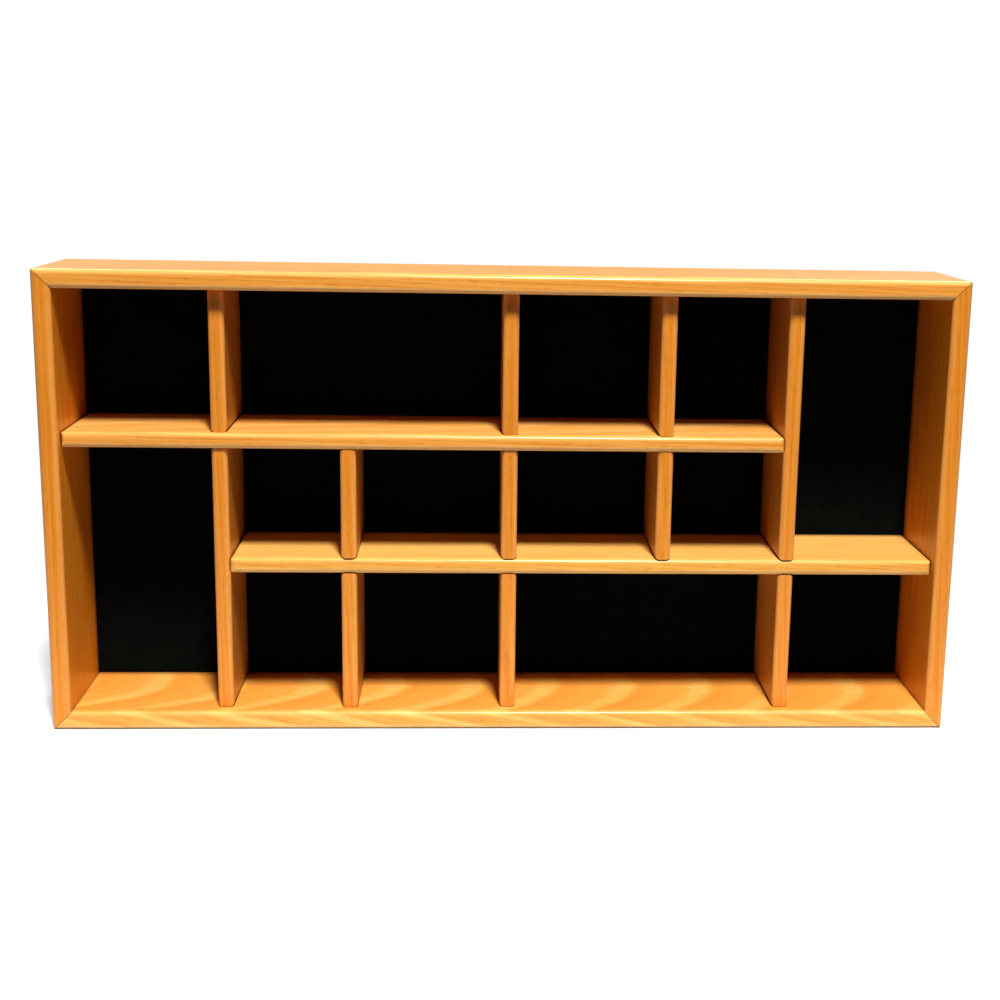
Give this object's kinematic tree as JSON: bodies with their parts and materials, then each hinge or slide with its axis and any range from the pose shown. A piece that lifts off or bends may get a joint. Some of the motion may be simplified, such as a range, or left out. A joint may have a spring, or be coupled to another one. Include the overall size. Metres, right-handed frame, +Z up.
{
  "type": "fishing lure display case",
  "caption": "Open-fronted wooden display case with mitred frame, shelves and dividers forming felt-backed compartments for fishing lures; stands on its base or hangs by swinging rings.",
  "frame": {"origin": "middle of the bottom face that the case stands on", "axes": "+X along the width to the right seen from the front, +Y to the back, +Z up; the front faces -Y"},
  "size_m": [0.61, 0.094, 0.3097],
  "materials": {
    "frame_oak": "gloss varnish",
    "divider_oak": "gloss varnish",
    "felt": "matte",
    "plywood": "bare",
    "dowel_wood": "bare",
    "nail_steel": "bright",
    "hanger_steel": "zinc plated",
    "rubber": "matte"
  },
  "bodies": {
    "case": {"top_rail": "frame_oak", "bottom_rail": "frame_oak", "left_stile": "frame_oak", "right_stile": "frame_oak", "upper_shelf": "divider_oak", "lower_shelf": "divider_oak", "left_tall_divider": "divider_oak", "right_tall_divider": "divider_oak", "top_left_divider": "divider_oak", "top_center_divider": "divider_oak", "top_right_divider": "divider_oak", "middle_left_divider": "divider_oak", "middle_center_divider": "divider_oak", "middle_right_divider": "divider_oak", "bottom_left_divider": "divider_oak", "bottom_center_divider": "divider_oak", "bottom_right_divider": "divider_oak", "felt_lining": "felt", "back_panel": "plywood", "corner_brads": "nail_steel", "stile_brads": "nail_steel", "top_rail_brads": "nail_steel", "bottom_rail_brads": "nail_steel", "through_dowels": "dowel_wood", "blind_dowels": "dowel_wood", "panel_pins": "nail_steel", "left_hanger_strap": "hanger_steel", "right_hanger_strap": "hanger_steel", "hanger_screws": "hanger_steel", "wall_bumpers": "rubber"},
    "left_ring": {"left_hanger_ring": "hanger_steel"},
    "right_ring": {"right_hanger_ring": "hanger_steel"}
  },
  "joints": [
    {"name": "left_ring_swing", "type": "hinge", "parent": "case", "child": "left_ring", "pos_m": [-0.1902, 0.0469, 0.2897], "axis": [1, 0, 0], "range_deg": [0, 180]},
    {"name": "right_ring_swing", "type": "hinge", "parent": "case", "child": "right_ring", "pos_m": [0.1917, 0.0469, 0.2897], "axis": [1, 0, 0], "range_deg": [0, 180]}
  ]
}
